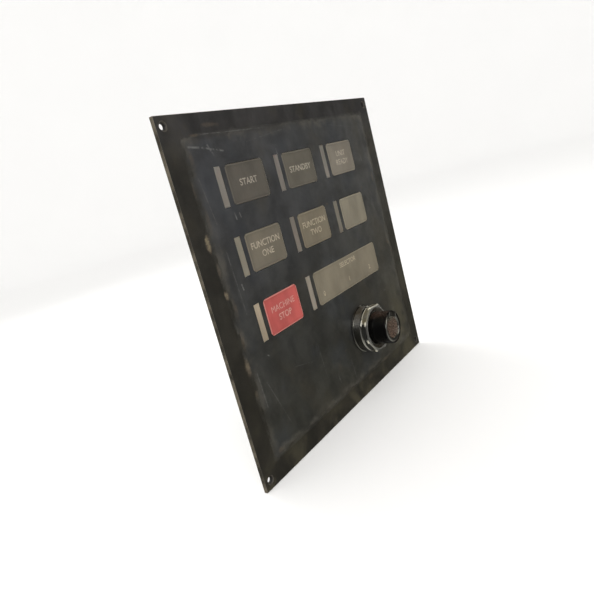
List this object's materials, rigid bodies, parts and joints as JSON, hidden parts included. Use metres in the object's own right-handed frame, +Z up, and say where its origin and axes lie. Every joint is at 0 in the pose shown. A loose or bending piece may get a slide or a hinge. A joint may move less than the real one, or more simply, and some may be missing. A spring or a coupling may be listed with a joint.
{
  "type": "operator control panel",
  "caption": "Flat operator control panel with backlit legend keys beside narrow status bars, a wide legend strip and a round rotary selector, for bolting into a cut-out.",
  "frame": {"origin": "centre of the four-hole pattern on the plate's rear mounting face", "axes": "+X to the right seen from the front, +Z up, front facing -Y"},
  "size_m": [0.28, 0.0731, 0.266],
  "materials": {
    "plate_aluminium": "mill finish, dull, with oxide and dirt along the edges",
    "overlay_print": "printed polyester, satin, scuffed and dusty",
    "spacer_film": "translucent film laminate",
    "legend_smoke": "smoked translucent, satin",
    "legend_cream": "amber-grey translucent, satin",
    "legend_red": "red translucent, satin",
    "lens_diffuser": "milky diffuser, satin",
    "switch_plunger": "moulded natural plastic",
    "switch_body": "moulded black plastic",
    "spring_steel": "bright spring strip",
    "light_bar_case": "moulded white reflector plastic",
    "led_package": "cast resin",
    "board_laminate": "green solder resist over glass laminate",
    "zinc_steel": "zinc plated",
    "header_plastic": "moulded green plastic",
    "contact_brass": "tinned brass, dull",
    "gasket_rubber": "black, dull",
    "chrome_plate": "polished, lightly tarnished",
    "die_cast_zinc": "cast and turned zinc",
    "knob_black": "polished phenolic",
    "cap_bronze": "tarnished, satin",
    "black_steel": "black oxide",
    "contact_block_plastic": "glass-filled, grained",
    "contact_cover_plastic": "glass-filled, grained",
    "rotor_plastic": "moulded acetal"
  },
  "bodies": {
    "panel": {"board_screws": "zinc_steel", "board_standoffs": "zinc_steel", "circuit_board": "board_laminate", "contact_cover": "contact_cover_plastic", "contact_cover_screws": "zinc_steel", "contact_housing": "contact_block_plastic", "contact_terminals": "contact_brass", "detent_spring": "spring_steel", "graphic_overlay": "overlay_print", "header_housing": "header_plastic", "header_pins": "contact_brass", "key_snap_domes": "spring_steel", "key_switch_centre": "switch_body", "key_switch_middle_left": "switch_body", "key_switch_middle_right": "switch_body", "key_switch_stop": "switch_body", "key_switch_top_left": "switch_body", "key_switch_top_middle": "switch_body", "key_switch_top_right": "switch_body", "legend_backlight_leds": "led_package", "membrane_spacer": "spacer_film", "panel_plate": "plate_aluminium", "selector_base_sleeve": "chrome_plate", "selector_bushing": "die_cast_zinc", "selector_gasket": "gasket_rubber", "selector_legend_frame": "light_bar_case", "selector_legend_window": "legend_cream", "selector_ring_nut": "chrome_plate", "status_lens_centre": "lens_diffuser", "status_lens_middle_left": "lens_diffuser", "status_lens_middle_right": "lens_diffuser", "status_lens_selector": "lens_diffuser", "status_lens_stop": "lens_diffuser", "status_lens_top_left": "lens_diffuser", "status_lens_top_middle": "lens_diffuser", "status_lens_top_right": "lens_diffuser", "status_light_bars": "light_bar_case"},
    "key_top_left": {"key_cap_top_left": "legend_smoke", "key_plunger_top_left": "switch_plunger"},
    "key_top_middle": {"key_cap_top_middle": "legend_smoke", "key_plunger_top_middle": "switch_plunger"},
    "key_top_right": {"key_cap_top_right": "legend_cream", "key_plunger_top_right": "switch_plunger"},
    "key_middle_left": {"key_cap_middle_left": "legend_cream", "key_plunger_middle_left": "switch_plunger"},
    "key_centre": {"key_cap_centre": "legend_cream", "key_plunger_centre": "switch_plunger"},
    "key_middle_right": {"key_cap_middle_right": "legend_cream", "key_plunger_middle_right": "switch_plunger"},
    "key_stop": {"key_cap_stop": "legend_red", "key_plunger_stop": "switch_plunger"},
    "selector": {"knob_barrel": "knob_black", "knob_face_ring": "chrome_plate", "knob_cap_disc": "cap_bronze", "knob_set_screw": "black_steel", "selector_shaft": "zinc_steel", "shaft_retaining_clip": "spring_steel", "contact_rotor": "rotor_plastic", "contact_wiper": "contact_brass"}
  },
  "joints": [
    {"name": "press_top_left", "type": "slide", "parent": "panel", "child": "key_top_left", "axis": [0, 1, 0], "range_m": [0, 0.0006], "stiffness_N_per_m": 2500, "springref_m": -0.0004},
    {"name": "press_top_middle", "type": "slide", "parent": "panel", "child": "key_top_middle", "axis": [0, 1, 0], "range_m": [0, 0.0006], "stiffness_N_per_m": 2500, "springref_m": -0.0004},
    {"name": "press_top_right", "type": "slide", "parent": "panel", "child": "key_top_right", "axis": [0, 1, 0], "range_m": [0, 0.0006], "stiffness_N_per_m": 2500, "springref_m": -0.0004},
    {"name": "press_middle_left", "type": "slide", "parent": "panel", "child": "key_middle_left", "axis": [0, 1, 0], "range_m": [0, 0.0006], "stiffness_N_per_m": 2500, "springref_m": -0.0004},
    {"name": "press_centre", "type": "slide", "parent": "panel", "child": "key_centre", "axis": [0, 1, 0], "range_m": [0, 0.0006], "stiffness_N_per_m": 2500, "springref_m": -0.0004},
    {"name": "press_middle_right", "type": "slide", "parent": "panel", "child": "key_middle_right", "axis": [0, 1, 0], "range_m": [0, 0.0006], "stiffness_N_per_m": 2500, "springref_m": -0.0004},
    {"name": "press_stop", "type": "slide", "parent": "panel", "child": "key_stop", "axis": [0, 1, 0], "range_m": [0, 0.0006], "stiffness_N_per_m": 2500, "springref_m": -0.0004},
    {"name": "selector_turn", "type": "hinge", "parent": "panel", "child": "selector", "pos_m": [0.0345, 0, -0.0748], "axis": [0, 1, 0], "range_deg": [-45, 45]}
  ]
}
